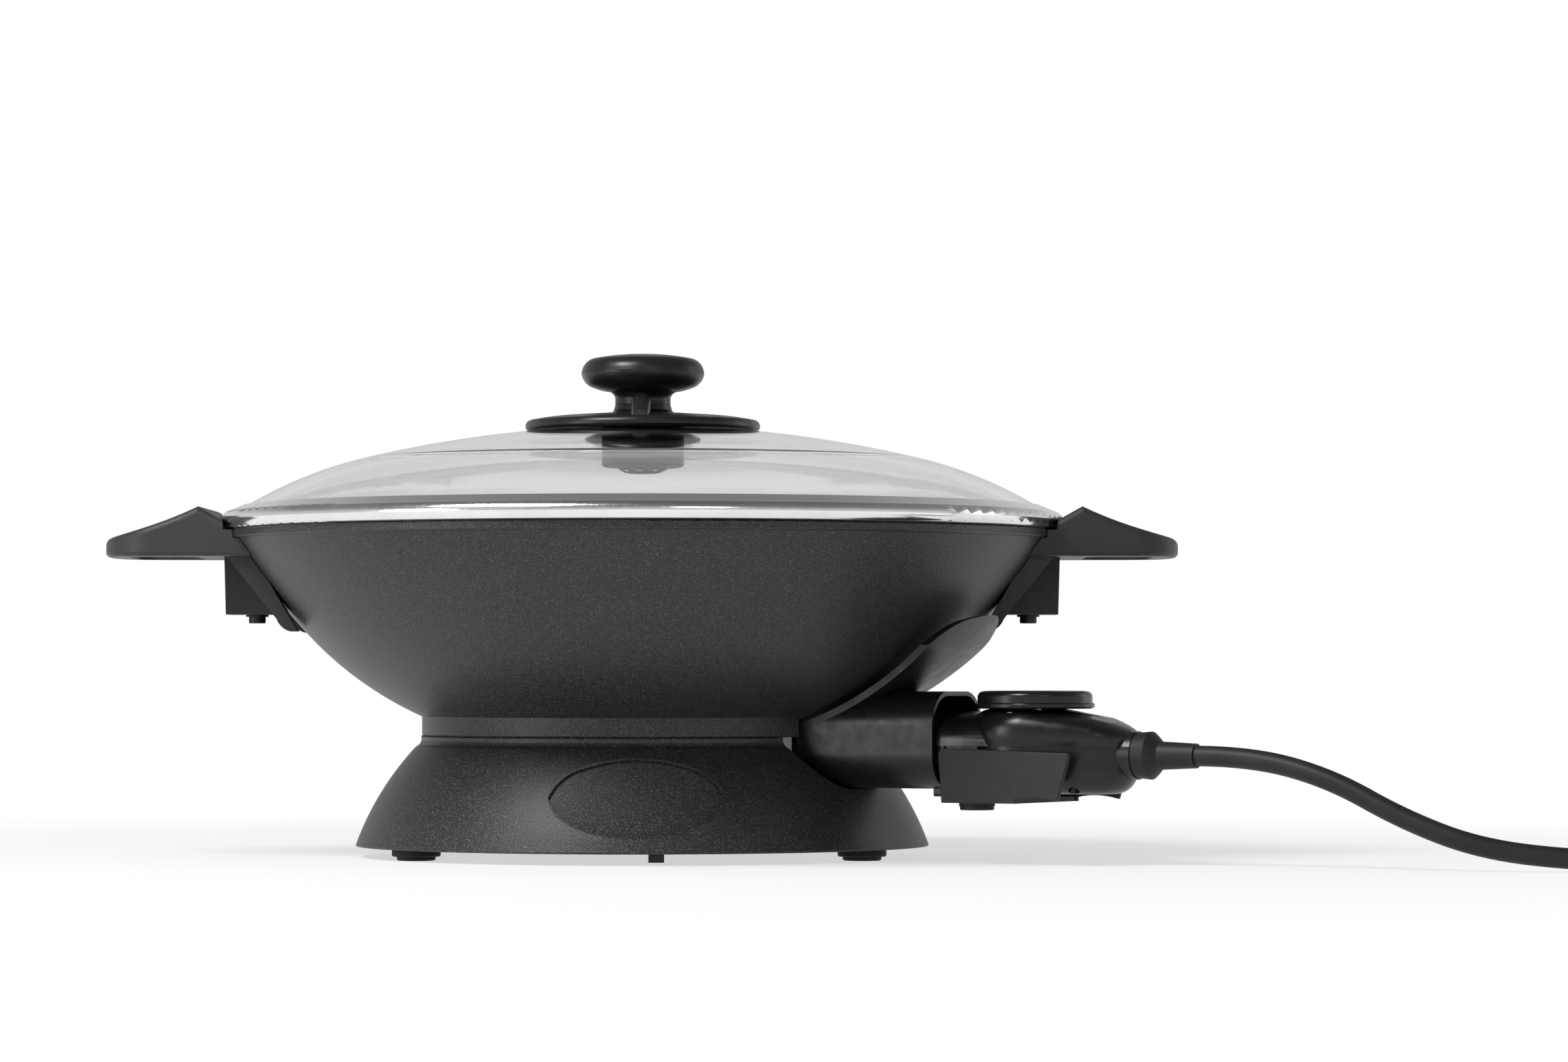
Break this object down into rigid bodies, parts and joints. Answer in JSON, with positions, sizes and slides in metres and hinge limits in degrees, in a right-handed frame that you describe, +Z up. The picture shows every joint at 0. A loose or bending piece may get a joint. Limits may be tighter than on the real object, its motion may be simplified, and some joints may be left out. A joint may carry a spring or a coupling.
{
  "type": "electric wok",
  "caption": "Electric wok: cast bowl with loop handles on a flared stand, lift-off glass lid with vent knob, and a plug-in thermostat probe with cord.",
  "frame": {"origin": "on the table under the middle of the four feet", "axes": "+X along the two handles, +Y away from the front of the stand, +Z up"},
  "size_m": [0.7745, 0.404, 0.2308],
  "materials": {
    "stand": "fine-textured charcoal coat",
    "foot_rubber": "matte rubber",
    "screw_steel": "zinc plated",
    "tray_metal": "bright rolled sheet",
    "lock_metal": "plated pressing",
    "bowl_coating": "charcoal non-stick coating with fine sparkle",
    "cast_metal": "as-cast",
    "element_sheath": "annealed sheath",
    "pin_metal": "nickel plated",
    "ceramic": "unglazed ceramic",
    "spring_metal": "spring steel",
    "shroud_plastic": "satin phenolic moulding",
    "handle_plastic": "matte phenolic moulding",
    "lid_glass": "tempered clear glass",
    "band_metal": "polished stainless steel",
    "seal_rubber": "translucent silicone",
    "gasket_rubber": "black silicone",
    "knob_plastic": "satin phenolic moulding",
    "strainer_metal": "perforated stainless steel",
    "probe_plastic": "satin moulded plastic",
    "lever_plastic": "matte moulded plastic",
    "dial_plastic": "gloss moulded plastic",
    "rod_metal": "bright stainless tube",
    "contact_metal": "brass",
    "cord_rubber": "flexible rubber sheath"
  },
  "bodies": {
    "base": {"base_housing": "stand", "rubber_feet": "foot_rubber", "foot_screws": "screw_steel", "reflector_tray": "tray_metal", "tray_screws": "screw_steel"},
    "lock": {"lock_lever": "lock_metal", "lock_retainer": "spring_metal"},
    "bowl": {"wok_bowl": "bowl_coating", "heating_casting": "cast_metal", "heating_element": "element_sheath", "contact_pins": "pin_metal", "pin_insulators": "ceramic", "earth_spring": "spring_metal", "lock_studs": "pin_metal", "socket_shroud": "shroud_plastic", "shroud_screws": "screw_steel", "handle_right": "handle_plastic", "handle_left": "handle_plastic", "handle_screws": "screw_steel", "handle_washers": "screw_steel"},
    "lid": {"lid_glass": "lid_glass", "lid_rim_band": "band_metal", "lid_seal": "seal_rubber", "vent_gasket": "gasket_rubber", "vent_collar": "knob_plastic", "vent_strainer": "strainer_metal", "knob_screw": "screw_steel", "knob_body": "knob_plastic", "knob_cap": "knob_plastic"},
    "vent": {"vent_ring": "knob_plastic"},
    "probe": {"probe_housing_lower": "probe_plastic", "probe_housing_upper": "probe_plastic", "housing_screws": "screw_steel", "sensor_rod": "rod_metal", "contact_sleeves": "contact_metal", "switch_frame": "spring_metal", "switch_blade": "spring_metal", "terminal_block": "ceramic", "cord_clamp": "probe_plastic", "lever_pins": "screw_steel", "lever_spring": "spring_metal", "cord_gland": "cord_rubber", "mains_cord": "cord_rubber", "cord_coil": "cord_rubber", "plug_body": "cord_rubber", "plug_pins": "pin_metal"},
    "dial": {"dial_knob": "dial_plastic", "control_spindle": "contact_metal", "control_cam": "ceramic"},
    "lever": {"release_lever": "lever_plastic", "lever_foot": "lever_plastic"}
  },
  "joints": [
    {"name": "bowl_lift", "type": "slide", "parent": "base", "child": "bowl", "axis": [0, 0, 1], "range_m": [0, 0.039]},
    {"name": "lid_lift", "type": "slide", "parent": "bowl", "child": "lid", "axis": [0, 0, 1], "range_m": [0, 0.036]},
    {"name": "vent_turn", "type": "hinge", "parent": "lid", "child": "vent", "pos_m": [0, 0, 0.2], "axis": [0, 0, 1], "range_deg": [-45, 0]},
    {"name": "probe_pull", "type": "slide", "parent": "bowl", "child": "probe", "axis": [0.866, -0.5, 0], "range_m": [0, 0.081]},
    {"name": "dial_turn", "type": "hinge", "parent": "probe", "child": "dial", "pos_m": [0.1758, -0.1015, 0.0635], "axis": [0, 0, 1], "range_deg": [-270, 0]},
    {"name": "release_press", "type": "hinge", "parent": "probe", "child": "lever", "pos_m": [0.16454, -0.095, 0.0415], "axis": [-0.5, -0.866, 0], "range_deg": [-5, 0], "stiffness_Nm_per_rad": 0.9, "springref_deg": 3.44, "deforming": ["lever_spring"]},
    {"name": "lock_turn", "type": "hinge", "parent": "base", "child": "lock", "pos_m": [0, 0, 0.03], "axis": [0, 0, 1], "range_deg": [-35, 0]}
  ]
}
